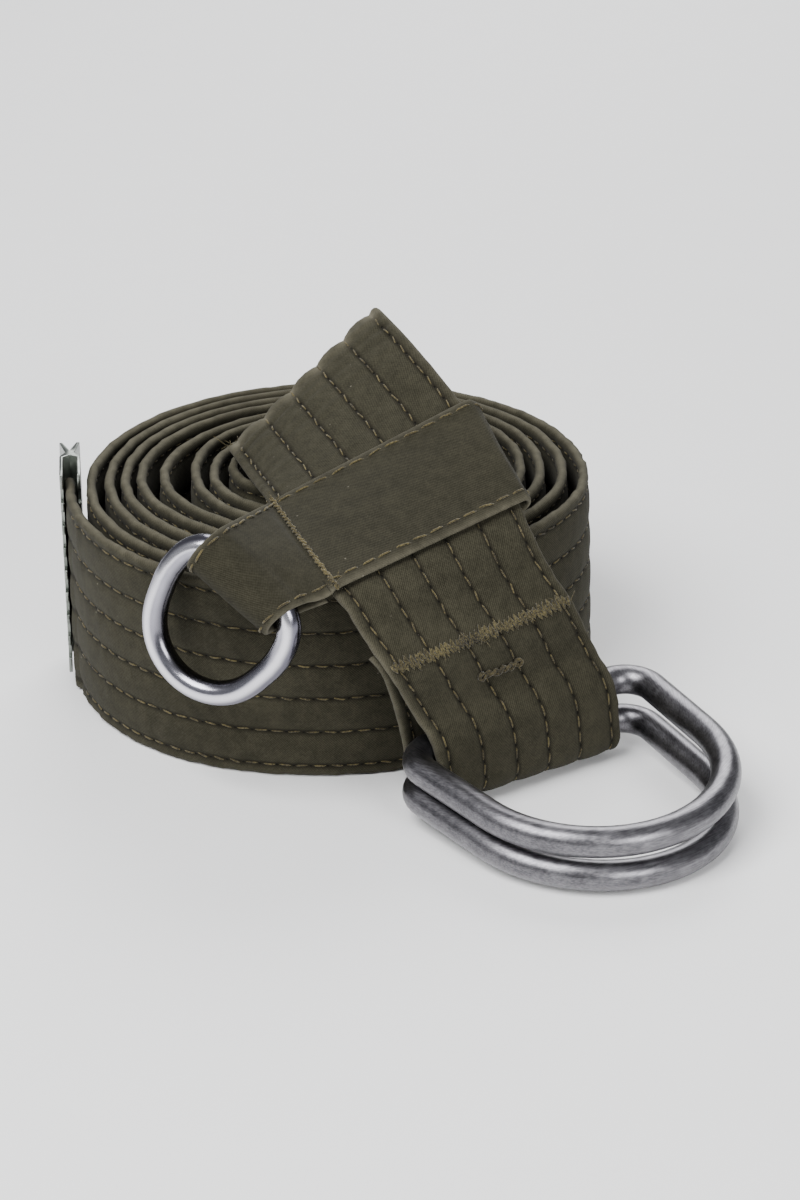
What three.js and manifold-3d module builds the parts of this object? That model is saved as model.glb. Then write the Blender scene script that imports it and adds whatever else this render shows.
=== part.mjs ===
// A quilted cloth belt, wound into an oval coil that stands on its edge. Its inner end rises
// out of the coil, folds over and runs down the front to two stacked D rings. A keeper band
// round that end holds a small D ring, and a folded metal clamp finishes the outer end.
// Millimetres, +Z up. The belt's two edges are called low and high, as they stand in the coil.

import * as THREE from 'three';
import Module from 'manifold-3d';

// Driving dimensions
const beltWidth = 40;
const clothThickness = 2;
const edgeRound = 0.9;
const keeperThickness = 1;
const pieceGap = 0.3;
const keeperGap = 0.45;
const turnGap = 0.35;
const looseGap = 2;
const coilRadius = 48;
const rimFlare = 6;
const foldRadius = 1.8;
const bigWire = 5.3;
const bigSideRoom = 2.5;
const bigDepth = 43;
const bigCorner = 5.5;
const bigTaper = THREE.MathUtils.degToRad(5.5);
const bigBarHeight = 5.3;
const bigBarAngle = THREE.MathUtils.degToRad(34);
const upperLift = 6.85;
const upperRoll = THREE.MathUtils.degToRad(2.6);
const smallWire = 4.4;
const smallHalfWidth = 11.6;
const smallDepth = 23.8;
const smallCorner = 5.5;
const smallTaper = THREE.MathUtils.degToRad(2);
const smallBarAngle = THREE.MathUtils.degToRad(-29);
const smallBarDip = THREE.MathUtils.degToRad(-31);
const smallHang = THREE.MathUtils.degToRad(-9);
const keeperStart = 1.5;
const keeperLoopWidth = 15;
const keeperLoopRoom = 0.6;
const keeperLoopSlack = 0.4;
const keeperLoopReach = 0.3;
const clampWall = 0.6;
const clampGrip = 6;
const tipLength = 6.5;
const clampReach = 9.5;
const clampLift = 3;
const toothPitch = 4.5;
const toothDepth = 1.6;

// How finely the solids are faceted
const turnSteps = 28;
const wireSides = 12;
const crossingStep = 3;
const loopStep = 1.4;

// Directions of the coil, in degrees seen from above, in the order the belt passes them
const directions = { left: 180, frontLeft: 225, front: 270, frontRight: 320, right: 360, backRight: 405, backLeft: 495 };

// The outer turn's upper edge, as shares of coilRadius
const outerTurn = { left: 1.01, frontLeft: 1.02, front: 0.99, frontRight: 0.88, right: 0.95, backRight: 0.975, backLeft: 0.938 };

// The spare gap between each turn and the one outside it, as shares of looseGap
const spareGaps = [
  { left: 0.66, frontLeft: 0.85, front: 0.85, frontRight: 1.1, right: 0.8, backRight: 0.25, backLeft: 0.15 },
  { left: 0.49, frontLeft: 1, front: 0.9, frontRight: 0.8, right: 0.9, backRight: 0.5, backLeft: 0.3 },
  { left: 0.25, frontLeft: 0.7, front: 0.9, frontRight: 0.5, right: 0.7, backRight: 0.35, backLeft: 0.25 },
  { left: 0.3, frontLeft: 1, front: 0.95, frontRight: 0.35, right: 0.6, backRight: 0.5, backLeft: 1 },
  { left: 0.95, frontLeft: 1, front: 1, frontRight: 0.45, right: 0.7, backRight: 0.55, backLeft: 0.3 },
  { left: 1.75, frontLeft: 1, front: 1, frontRight: 0.65, right: 0.85, backRight: 0.75, backLeft: 1.2 },
  { left: 0.5, frontLeft: 1, front: 1.7, frontRight: 1, right: 1.2, backRight: 1.4, backLeft: 0.5 },
  { left: 1, frontLeft: 4.1 },
];

// How far the upper edge stands out past the lower one, as shares of rimFlare
const flares = { left: 0, frontLeft: 0.57, front: 1, frontRight: 0, right: -0.23, backRight: -0.05, backLeft: 0 };

// The rise out of the coil: x and y as shares of coilRadius, z as shares of beltWidth
const rise = [
  { lowX: 0.02, lowY: -0.16, lowZ: 0.12, highX: 0.02, highY: -0.16, highZ: 1.12 },
  { lowX: 0.17, lowY: -0.1, lowZ: 0.24, highX: 0.18, highY: -0.11, highZ: 1.2 },
  { lowX: 0.15, lowY: 0.04, lowZ: 0.4, highX: 0.23, highY: 0, highZ: 1.3 },
  { lowX: -0.08, lowY: 0.12, lowZ: 0.66, highX: 0.26, highY: 0.1, highZ: 1.42 },
];

// The belt's end over the coil: z is the share of beltWidth above the keeper that lies on the rim,
// and span is the width across the two edges, less where the cloth is cupped
const crossing = [
  { lowX: -0.381, lowY: 0.072, lowZ: 0.991, highX: 0.173, highY: 0.333, highZ: 1.566, span: 0.96 },
  { lowX: -0.31, lowY: -0.179, lowZ: 0.985, highX: 0.315, highY: 0.075, highZ: 1.51, span: 0.965 },
  { lowX: -0.215, lowY: -0.49, lowZ: 1.01, highX: 0.49, highY: -0.212, highZ: 1.36, span: 0.975 },
  { lowX: -0.09, lowY: -0.865, lowZ: 1, highX: 0.588, highY: -0.458, highZ: 1.235, span: 0.985 },
  { lowX: 0.03, lowY: -1.133, lowZ: 0.943, highX: 0.692, highY: -0.65, highZ: 1.088, span: 1 },
];

// The loop round the ring bars: along, out and up from the lower bar, as shares of bigWire
const ringLoop = [
  { along: -2.45, out: -1.1, up: 6.6, tilt: 0.11 },
  { along: -2.13, out: -0.8, up: 5.77, tilt: 0.095 },
  { along: -1.9, out: -0.42, up: 5.17, tilt: 0.09 },
  { along: -1.7, out: 0.06, up: 4.62, tilt: 0.087 },
  { along: -0.98, out: 0.25, up: 2.77, tilt: 0.05 },
  { along: -0.42, out: 0.72, up: 1.79, tilt: 0.04 },
  { along: -0.25, out: 0.87, up: 0.55, tilt: 0.01 },
  { along: -0.14, out: 0.75, up: -0.42, tilt: 0 },
  { along: -0.1, out: 0.1, up: -0.75, tilt: 0 },
  { along: -0.2, out: -0.68, up: -0.5, tilt: 0 },
  { along: -0.35, out: -0.86, up: 0.35, tilt: 0 },
  { along: -0.6, out: -0.84, up: 1.5, tilt: 0.02 },
  { along: -1.1, out: -0.52, up: 2.9, tilt: 0.05 },
  { along: -1.65, out: -0.42, up: 4.45, tilt: 0.085 },
  { along: -1.85, out: -0.82, up: 4.85, tilt: 0.09 },
];

// Where the bars stand: x and y as shares of coilRadius, z as a share of beltWidth
const coilCentre = { x: 0.01, y: -0.02 };
const bigBarPlace = { x: 0.7, y: -0.896 };
const smallBarPlace = { x: -0.27, y: -1.076, z: 1.068 };

// The belt is drawn in a little where it goes through the rings
const loopSpan = 0.965;

const up = new THREE.Vector3(0, 0, 1);
const halfCloth = clothThickness / 2;
const overRim = pieceGap + keeperThickness + keeperGap + halfCloth;
const lastTurn = spareGaps.length;

// The sum a + b * s
function along(a, b, s) {
  return a.clone().addScaledVector(b, s);
}

// Smooth curve through values at uneven places, with the slope of its neighbours at each
function smoothAt(places, values, place) {
  let i = 0;
  while (i < places.length - 2 && place > places[i + 1]) {
    i += 1;
  }
  const slope = (k) => {
    const before = Math.max(k - 1, 0);
    const after = Math.min(k + 1, places.length - 1);
    return (values[after] - values[before]) / (places[after] - places[before]);
  };
  const length = places[i + 1] - places[i];
  const t = (place - places[i]) / length;
  const t2 = t * t;
  const t3 = t2 * t;
  const ends = (2 * t3 - 3 * t2 + 1) * values[i] + (3 * t2 - 2 * t3) * values[i + 1];
  return ends + length * ((t3 - 2 * t2 + t) * slope(i) + (t3 - t2) * slope(i + 1));
}

// The coil as one falling radius: a value for each direction of each turn
function coilCurve() {
  const angles = [];
  const radii = [];
  const radius = {};
  for (const [name, share] of Object.entries(outerTurn)) {
    radius[name] = share * coilRadius;
  }
  for (let turn = 0; turn <= lastTurn; turn += 1) {
    const row = turn > 0 ? spareGaps[turn - 1] : outerTurn;
    for (const name of Object.keys(row)) {
      if (turn > 0) {
        radius[name] -= clothThickness + turnGap + row[name] * looseGap;
      }
      angles.push(directions[name] + 360 * turn);
      radii.push(radius[name]);
    }
  }
  return { angles, radii };
}

// The flare of the rim at any direction, fading towards the core
function flareAt(angle) {
  const names = Object.keys(directions);
  const places = names.map((name) => directions[name]);
  const values = names.map((name) => flares[name]);
  places.push(places[0] + 360);
  values.push(values[0]);
  const first = directions.left;
  const turn = (angle - first) / 360;
  const share = smoothAt(places, values, first + (((angle - first) % 360) + 360) % 360);
  return rimFlare * share * Math.max(0, 1 - turn / lastTurn);
}

// One station of the belt: its low edge, middle and high edge
function station(low, high, middle) {
  return { low, high, middle: middle ?? low.clone().lerp(high, 0.5) };
}

function shifted(source, offset) {
  return station(source.low.clone().add(offset), source.high.clone().add(offset));
}

function upright(source) {
  return station(new THREE.Vector3(source.high.x, source.high.y, 0), source.high);
}

const coilRun = coilCurve();
const coilStart = coilRun.angles[0];
const coilEnd = coilRun.angles[coilRun.angles.length - 1];

function coilStation(angle) {
  const rim = smoothAt(coilRun.angles, coilRun.radii, angle);
  const flare = flareAt(angle);
  const lean = 1.5 * flare;
  const height = Math.sqrt(beltWidth * beltWidth - lean * lean);
  const turned = THREE.MathUtils.degToRad(angle);
  const place = (radius, z) => new THREE.Vector3(
    coilCentre.x * coilRadius + radius * Math.cos(turned), coilCentre.y * coilRadius + radius * Math.sin(turned), z,
  );
  const bulge = 0.31 * flare;
  return station(place(rim - flare, 0), place(rim, height), place(rim - flare + bulge, height / 2));
}

// The belt leaves the clamp's jaws straight and upright, and then follows the coil
const tipStart = coilStart + THREE.MathUtils.radToDeg(1.35 * clampGrip / coilRadius);
const tipBase = upright(coilStation(tipStart));
const tipTurn = (coilStart + 2 * tipStart) / 3;
const tipAway = upright(coilStation(tipTurn)).low.sub(upright(coilStation(tipTurn + 1)).low).normalize();

function coilStations() {
  const count = Math.round((coilEnd - tipStart) / 360 * turnSteps);
  const stations = [shifted(tipBase, tipAway.clone().multiplyScalar(tipLength)), tipBase];
  for (let i = 1; i <= count; i += 1) {
    stations.push(coilStation(tipStart + (coilEnd - tipStart) * i / count));
  }
  return stations;
}

// A row of a table as a station of the true width
function rowStation(row, lift) {
  const low = new THREE.Vector3(row.lowX * coilRadius, row.lowY * coilRadius, row.lowZ * beltWidth + lift);
  const high = new THREE.Vector3(row.highX * coilRadius, row.highY * coilRadius, row.highZ * beltWidth + lift);
  const middle = low.clone().lerp(high, 0.5);
  const across = high.clone().sub(low).setLength((row.span ?? 1) * beltWidth / 2);
  return station(middle.clone().sub(across), middle.clone().add(across));
}

// The bars' own directions: along the bar, and out towards the ring's arc
const barAlong = new THREE.Vector3(Math.cos(bigBarAngle), Math.sin(bigBarAngle), 0);
const barOut = new THREE.Vector3(Math.sin(bigBarAngle), -Math.cos(bigBarAngle), 0);
const barCentre = new THREE.Vector3(bigBarPlace.x * coilRadius, bigBarPlace.y * coilRadius, bigBarHeight);

function loopStation(row) {
  const middle = along(along(barCentre, barAlong, row.along * bigWire), barOut, row.out * bigWire);
  middle.addScaledVector(up, row.up * bigWire);
  const across = barAlong.clone().multiplyScalar(Math.cos(row.tilt)).addScaledVector(up, Math.sin(row.tilt));
  across.multiplyScalar(loopSpan * beltWidth / 2);
  return station(middle.clone().sub(across), middle.clone().add(across));
}

// The folded end: the run under the fold, the fold itself, and the top of the crossing
function foldStations() {
  const top = rowStation(crossing[0], overRim);
  const next = rowStation(crossing[1], overRim);
  const forward = next.middle.clone().sub(top.middle).normalize();
  const across = top.high.clone().sub(top.low).normalize();
  const face = forward.clone().cross(across).normalize();
  const ahead = across.clone().cross(face);
  const under = face.clone().multiplyScalar(-2 * foldRadius);
  const stations = [shifted(top, along(under, ahead, 4 * foldRadius)), shifted(top, under)];
  for (const turn of [45, 90, 135]) {
    const angle = THREE.MathUtils.degToRad(turn);
    const out = ahead.clone().multiplyScalar(-foldRadius * Math.sin(angle));
    stations.push(shifted(top, along(out, face, -foldRadius * (1 + Math.cos(angle)))));
  }
  return stations;
}

// A smooth run of stations through hand-placed ones, with its own step after each of them
function smoothStations(keys, steps) {
  const places = [0];
  for (let i = 1; i < keys.length; i += 1) {
    places.push(places[i - 1] + keys[i].middle.distanceTo(keys[i - 1].middle));
  }
  const at = (place) => {
    const edge = (name) => new THREE.Vector3(...['x', 'y', 'z'].map((axis) => (
      smoothAt(places, keys.map((key) => key[name][axis]), place))));
    return station(edge('low'), edge('high'), edge('middle'));
  };
  const stations = [];
  for (let i = 0; i < keys.length - 1; i += 1) {
    const count = Math.max(1, Math.round((places[i + 1] - places[i]) / steps[i]));
    for (let k = 0; k < count; k += 1) {
      stations.push(at(places[i] + (places[i + 1] - places[i]) * k / count));
    }
  }
  stations.push(at(places[places.length - 1]));
  return { stations, places, at };
}

const coil = coilStations();
const crossingKeys = crossing.map((row) => rowStation(row, overRim));
const endParts = [
  { keys: coil.slice(-2), step: crossingStep },
  { keys: rise.map((row) => rowStation(row, 0)), step: crossingStep },
  { keys: foldStations(), step: loopStep },
  { keys: crossingKeys, step: crossingStep },
  { keys: ringLoop.map(loopStation), step: loopStep },
];
const endKeys = endParts.flatMap((part) => part.keys);
const endRun = smoothStations(endKeys, endParts.flatMap((part) => part.keys.map(() => part.step)));
const beltStations = [...coil.slice(0, -2), ...endRun.stations];

// A closed band: rows of points along its length, with half its thickness at each point across.
// A point with no thickness is shared by both faces.
function band(rows, halves) {
  const points = [];
  const across = halves.length;
  const rings = rows.map((row, i) => {
    const before = rows[Math.max(i - 1, 0)];
    const after = rows[Math.min(i + 1, rows.length - 1)];
    const outer = [];
    const inner = [];
    for (let k = 0; k < across; k += 1) {
      const forward = after[k].clone().sub(before[k]);
      const side = row[Math.min(k + 1, across - 1)].clone().sub(row[Math.max(k - 1, 0)]);
      const face = forward.cross(side).normalize();
      outer.push(points.push(along(row[k], face, halves[k])) - 1);
      inner.push(halves[k] > 0 ? points.push(along(row[k], face, -halves[k])) - 1 : outer[k]);
    }
    const back = inner.slice().reverse();
    return [...outer, ...back].filter((index, place, all) => all[(place + 1) % all.length] !== index);
  });
  const triangles = [];
  for (let i = 0; i + 1 < rings.length; i += 1) {
    const count = rings[i].length;
    for (let k = 0; k < count; k += 1) {
      const next = (k + 1) % count;
      triangles.push(rings[i][k], rings[i + 1][next], rings[i][next]);
      triangles.push(rings[i][k], rings[i + 1][k], rings[i + 1][next]);
    }
  }
  const cap = (ring, flip) => {
    let left = 0;
    let right = ring.length - 1;
    while (right - left > 1) {
      const first = [ring[left], ring[left + 1], ring[right]];
      triangles.push(...(flip ? first.reverse() : first));
      left += 1;
      if (right - left > 1) {
        const second = [ring[left], ring[right - 1], ring[right]];
        triangles.push(...(flip ? second.reverse() : second));
        right -= 1;
      }
    }
  };
  cap(rings[0], false);
  cap(rings[rings.length - 1], true);
  return closedGeometry(points, triangles);
}

// A closed geometry whose faces point out, whichever way they were listed
function closedGeometry(points, triangles) {
  let volume = 0;
  for (let i = 0; i < triangles.length; i += 3) {
    const [a, b, c] = [points[triangles[i]], points[triangles[i + 1]], points[triangles[i + 2]]];
    volume += a.dot(b.clone().cross(c));
  }
  const listed = volume < 0 ? triangles.slice().reverse() : triangles;
  const geometry = new THREE.BufferGeometry();
  geometry.setAttribute('position', new THREE.Float32BufferAttribute(points.flatMap((p) => p.toArray()), 3));
  geometry.setIndex(listed);
  return geometry;
}

function beltRow(s) {
  const side = s.high.clone().sub(s.low);
  const inset = edgeRound / side.length();
  return [s.low, s.low.clone().lerp(s.middle, 2 * inset), s.middle, s.high.clone().lerp(s.middle, 2 * inset), s.high];
}

// A D ring's centre line: a bar, two corners, two legs leaning in, and one arc
function ringOutline(halfWidth, depth, corner, taper) {
  const arcCentre = (depth - halfWidth * Math.cos(taper)) / (1 - Math.sin(taper));
  const arcRadius = depth - arcCentre;
  const barHalf = halfWidth - Math.tan(taper) * corner - corner / Math.cos(taper);
  const half = [];
  const arc = (x, y, radius, from, to, steps) => {
    for (let i = 0; i <= steps; i += 1) {
      const angle = from + (to - from) * i / steps;
      half.push([x + radius * Math.cos(angle), y + radius * Math.sin(angle)]);
    }
  };
  arc(barHalf, corner, corner, -Math.PI / 2, taper, 7);
  const legStart = half[half.length - 1];
  const legEnd = [arcRadius * Math.cos(taper), arcCentre + arcRadius * Math.sin(taper)];
  for (const share of [0.25, 0.5, 0.75]) {
    half.push([legStart[0] + (legEnd[0] - legStart[0]) * share, legStart[1] + (legEnd[1] - legStart[1]) * share]);
  }
  arc(0, arcCentre, arcRadius, taper, Math.PI / 2, 16);
  const mirrored = half.slice(0, -1).reverse().map(([x, y]) => [-x, y]);
  const bar = [-0.5, 0, 0.5].map((share) => [barHalf * share, 0]);
  return [...half, ...mirrored, ...bar];
}

// A round wire along a closed flat line
function wireRing(outline, wire, centre, alongBar, outward) {
  const flat = alongBar.clone().cross(outward).normalize();
  const line = outline.map(([x, y]) => along(along(centre, alongBar, x), outward, y));
  const points = [];
  const triangles = [];
  const count = line.length;
  line.forEach((place, i) => {
    const forward = line[(i + 1) % count].clone().sub(line[(i + count - 1) % count]).normalize();
    const side = forward.cross(flat);
    for (let k = 0; k < wireSides; k += 1) {
      const angle = 2 * Math.PI * (k + 0.5) / wireSides;
      const reach = wire / 2;
      points.push(along(along(place, side, reach * Math.cos(angle)), flat, reach * Math.sin(angle)));
    }
  });
  for (let i = 0; i < count; i += 1) {
    for (let k = 0; k < wireSides; k += 1) {
      const next = (k + 1) % wireSides;
      const a = i * wireSides;
      const b = ((i + 1) % count) * wireSides;
      triangles.push(a + k, b + next, a + next, a + k, b + k, b + next);
    }
  }
  return closedGeometry(points, triangles);
}

// The big rings lie on the ground on their arcs, with their bars raised by the cloth under them
const bigHalfWidth = beltWidth / 2 + bigSideRoom + bigWire / 2;
const bigSink = Math.asin((bigBarHeight - bigWire / 2) / bigDepth);

function bigRing(lift, roll) {
  const alongBar = barAlong.clone().multiplyScalar(Math.cos(roll)).addScaledVector(up, Math.sin(roll));
  const outward = barOut.clone().multiplyScalar(Math.cos(bigSink)).addScaledVector(up, -Math.sin(bigSink));
  outward.addScaledVector(alongBar, -outward.dot(alongBar)).normalize();
  const outline = ringOutline(bigHalfWidth, bigDepth, bigCorner, bigTaper);
  return wireRing(outline, bigWire, along(barCentre, up, lift), alongBar, outward);
}

// The small ring hangs from the keeper and leans on the coil
const smallBar = new THREE.Vector3(
  Math.cos(smallBarAngle) * Math.cos(smallBarDip),
  Math.sin(smallBarAngle) * Math.cos(smallBarDip),
  Math.sin(smallBarDip),
);
const smallCentre = new THREE.Vector3(
  smallBarPlace.x * coilRadius, smallBarPlace.y * coilRadius, smallBarPlace.z * beltWidth,
);
const smallDown = along(up.clone().negate(), smallBar, smallBar.z).normalize();
const smallOut = smallDown.clone().multiplyScalar(Math.cos(smallHang));
smallOut.addScaledVector(smallBar.clone().cross(smallDown), Math.sin(smallHang));

function smallRing() {
  const outline = ringOutline(smallHalfWidth, smallDepth, smallCorner, smallTaper);
  return wireRing(outline, smallWire, smallCentre, smallBar, smallOut);
}

// The keeper: one strip that starts under the belt, goes round its high edge and over the top,
// round the small ring's bar, and back to where it started
function keeperRows() {
  const clear = halfCloth + keeperGap + keeperThickness / 2;
  const layers = (keeperThickness + pieceGap) / 2;
  const loopRadius = smallWire / 2 + pieceGap + keeperLoopRoom + keeperThickness / 2;
  const firstKey = endKeys.length - ringLoop.length - crossing.length + 2;
  const from = endRun.places[firstKey] + keeperStart;
  const to = endRun.places[firstKey + 2];
  const shares = [0, 1 / 6, 1 / 3, 1 / 2, 2 / 3, 5 / 6, 1];
  const frames = shares.map((share) => {
    const place = from + (to - from) * share;
    const here = endRun.at(place);
    const across = here.high.clone().sub(here.low);
    const half = across.length() / 2;
    across.normalize();
    const face = endRun.at(place + 1).middle.sub(here.middle).cross(across).normalize();
    const at = (a, n) => along(along(here.middle, across, a), face, n);
    return { share, half, face, at };
  });
  const middleFrame = frames[3];
  const inward = middleFrame.at(-middleFrame.half, 0).sub(smallCentre);
  inward.addScaledVector(smallBar, -inward.dot(smallBar)).normalize();
  const over = smallBar.clone().cross(inward);
  over.multiplyScalar(Math.sign(over.dot(middleFrame.face)));
  const lines = frames.map(({ share, half, at }) => {
    const bend = 0.7 * clear;
    const line = [at(1.5 - half, -clear), at(-half / 2, -clear), at(0, -clear), at(half / 2, -clear)];
    line.push(at(half - 0.5, -clear), at(half + bend, -bend), at(half + clear, 0), at(half + bend, bend));
    line.push(at(half - 0.5, clear), at(half / 2, clear), at(0, clear), at(-half / 2, clear));
    line.push(at(0.5 - half, clear), at(-half - 1.5, 1.4 * layers));
    const bar = along(along(smallCentre, smallBar, (share - 0.5) * keeperLoopWidth), smallOut, keeperLoopSlack);
    const round = (turn, reach) => {
      const angle = THREE.MathUtils.degToRad(turn);
      const far = reach * (1 + keeperLoopReach * Math.max(0, -Math.cos(angle)));
      return along(along(bar, inward, far * Math.cos(angle)), over, reach * Math.sin(angle));
    };
    const turns = [45, 70, 95, 125, 155, 180, 205, 235, 265, 290, 315];
    const loop = turns.map((turn) => round(turn, loopRadius));
    line.push(line[line.length - 1].clone().lerp(loop[0], 0.5), ...loop);
    const end = at(-half - 1.2, -1.4 * layers);
    line.push(loop[loop.length - 1].clone().lerp(end, 0.5), end);
    return line;
  });
  return lines[0].map((_, i) => lines.map((line) => line[i]));
}

// The end clamp: one folded sheet, pinched to a neck, with two toothed jaws on the cloth
const wasm = await Module();
wasm.setup();

function toSolid(geometry) {
  const position = geometry.getAttribute('position');
  const index = geometry.getIndex();
  const seen = new Map();
  const vertices = [];
  const triangles = [];
  const count = index ? index.count : position.count;
  for (let i = 0; i < count; i += 1) {
    const k = index ? index.getX(i) : i;
    const corner = [position.getX(k), position.getY(k), position.getZ(k)];
    const name = corner.map((v) => v.toFixed(4)).join(' ');
    if (!seen.has(name)) {
      seen.set(name, vertices.length / 3);
      vertices.push(...corner);
    }
    triangles.push(seen.get(name));
  }
  const mesh = new wasm.Mesh({
    numProp: 3,
    vertProperties: new Float32Array(vertices),
    triVerts: new Uint32Array(triangles),
  });
  return new wasm.Manifold(mesh);
}

function toGeometry(solid) {
  const mesh = solid.getMesh();
  const geometry = new THREE.BufferGeometry();
  geometry.setAttribute('position', new THREE.BufferAttribute(new Float32Array(mesh.vertProperties), 3));
  geometry.setIndex(Array.from(mesh.triVerts));
  return geometry;
}

function clampGeometry() {
  const inner = halfCloth + pieceGap;
  const outer = inner + clampWall;
  const shoulder = 0.29 * clampReach;
  const neck = 0.49 * clampReach;
  const half = [
    [0.38 * clampReach, 0], [shoulder - clampWall / 2, inner], [-clampGrip, inner], [-clampGrip, outer],
    [shoulder, outer], [neck, 1.4 * clampWall], [clampReach, outer], [clampReach, outer - clampWall],
    [0.6 * clampReach, 0],
  ];
  const outline = [...half, ...half.slice(1, -1).reverse().map(([a, b]) => [a, -b])];
  const shape = new THREE.Shape(outline.map(([a, b]) => new THREE.Vector2(a, b)));
  let solid = toSolid(new THREE.ExtrudeGeometry(shape, { depth: beltWidth, bevelEnabled: false }));
  const notches = Math.floor(beltWidth / toothPitch);
  const start = (beltWidth - (notches - 1) * toothPitch) / 2;
  for (let i = 0; i < notches; i += 1) {
    const notch = new THREE.BoxGeometry(2 * toothDepth, 4 * outer, 0.6 * toothPitch);
    notch.translate(-clampGrip, 0, start + i * toothPitch);
    solid = solid.subtract(toSolid(notch));
  }
  return toGeometry(solid);
}

function material(color, roughness, metalness) {
  return new THREE.MeshStandardMaterial({ color, roughness, metalness, side: THREE.FrontSide });
}

const cloth = material('#4b493c', 0.9, 0);
const darkMetal = material('#6d6c68', 0.38, 1);
const brightMetal = material('#c9c9d2', 0.16, 1);
const zinc = material('#c5cbc4', 0.3, 1);

const belt = new THREE.Group();

function addPiece(name, geometry, finish) {
  const mesh = new THREE.Mesh(geometry, finish);
  mesh.name = name;
  belt.add(mesh);
  return mesh;
}

const strapHalves = [0, halfCloth, halfCloth, halfCloth, 0];
const keeperRowPoints = keeperRows();
const keeperHalves = keeperRowPoints[0].map(() => keeperThickness / 2);
addPiece('belt_strap', band(beltStations.map(beltRow), strapHalves), cloth);
addPiece('keeper_band', band(keeperRowPoints, keeperHalves), cloth.clone());
addPiece('lower_d_ring', bigRing(0, 0), darkMetal);
addPiece('upper_d_ring', bigRing(upperLift, upperRoll), darkMetal.clone());
addPiece('small_d_ring', smallRing(), brightMetal);

const tip = coil[0];
const clamp = addPiece('end_clamp', clampGeometry(), zinc);
clamp.position.set(tip.low.x, tip.low.y, clampLift);
clamp.rotation.z = Math.atan2(tipAway.y, tipAway.x);

// The origin: the middle of the whole object's box, on the ground
belt.updateMatrixWorld(true);
const box = new THREE.Box3().setFromObject(belt, true);
const centre = box.getCenter(new THREE.Vector3());
belt.position.set(-centre.x, -centre.y, -box.min.z);

export default belt;
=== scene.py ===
# %% [markdown]
# # A wound belt with D rings
# This lesson dresses the imported solids of a quilted cloth belt. The belt stands on its edge, wound
# into an oval coil. Its inner end folds over the top and runs down the front to two D rings on the
# ground, and a keeper band round that end holds a smaller ring. The solids give every place and
# size. Blender adds what the eye reads as cloth and metal: padding, seams, thread, weave and wear,
# with some painted highlight and shade.

# %% Load the solids
import math

import bpy
import bmesh
import numpy as np
from mathutils import Matrix, Vector


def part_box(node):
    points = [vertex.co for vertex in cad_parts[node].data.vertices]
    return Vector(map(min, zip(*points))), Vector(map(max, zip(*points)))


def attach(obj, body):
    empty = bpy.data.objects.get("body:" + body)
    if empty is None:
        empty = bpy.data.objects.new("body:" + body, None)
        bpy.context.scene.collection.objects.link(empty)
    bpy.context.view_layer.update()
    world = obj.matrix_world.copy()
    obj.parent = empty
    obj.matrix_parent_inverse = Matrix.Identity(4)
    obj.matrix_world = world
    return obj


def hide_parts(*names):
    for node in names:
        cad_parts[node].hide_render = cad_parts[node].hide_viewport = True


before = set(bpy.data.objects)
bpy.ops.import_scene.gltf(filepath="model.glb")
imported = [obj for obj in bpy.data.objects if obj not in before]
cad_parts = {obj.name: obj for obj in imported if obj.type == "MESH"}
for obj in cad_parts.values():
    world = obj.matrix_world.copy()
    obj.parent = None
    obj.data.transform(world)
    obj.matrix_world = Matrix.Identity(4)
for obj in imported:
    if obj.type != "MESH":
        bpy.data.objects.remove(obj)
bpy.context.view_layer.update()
MM = 0.001
print("nodes:", sorted(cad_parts))

# %% [markdown]
# The belt's line is worked out from the same few sizes and tables as its solid, in millimetres.
# A coil is easiest as one radius that falls from turn to turn, given at a few directions and
# smoothed in between. The free end is a run of listed stations. Each station holds the
# belt's low edge, middle and high edge, so a station says where the cloth is and how it leans.

# %% Sizes and tables
BELT_WIDTH = 40
CLOTH_THICKNESS = 2
KEEPER_THICKNESS = 1
PIECE_GAP = 0.3
KEEPER_GAP = 0.45
TURN_GAP = 0.35
LOOSE_GAP = 2
COIL_RADIUS = 48
RIM_FLARE = 6
HALF_UP_FLARE = 0.69
FOLD_RADIUS = 1.8
BIG_WIRE = 5.3
BIG_SIDE_ROOM = 2.5
BIG_DEPTH = 43
BIG_CORNER = 5.5
BIG_TAPER = math.radians(5.5)
BIG_BAR_HEIGHT = 5.3
BIG_BAR_ANGLE = math.radians(34)
UPPER_LIFT = 6.85
UPPER_ROLL = math.radians(2.6)
SMALL_WIRE = 4.4
SMALL_HALF_WIDTH = 11.6
SMALL_DEPTH = 23.8
SMALL_CORNER = 5.5
SMALL_TAPER = math.radians(2)
SMALL_BAR_ANGLE = math.radians(-29)
SMALL_BAR_DIP = math.radians(-31)
SMALL_HANG = math.radians(-9)
KEEPER_START = 1.5
KEEPER_LOOP_WIDTH = 15
KEEPER_LOOP_ROOM = 0.6
KEEPER_LOOP_SLACK = 0.4
KEEPER_LOOP_REACH = 0.3
CLAMP_GRIP = 6
TIP_LENGTH = 6.5

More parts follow.
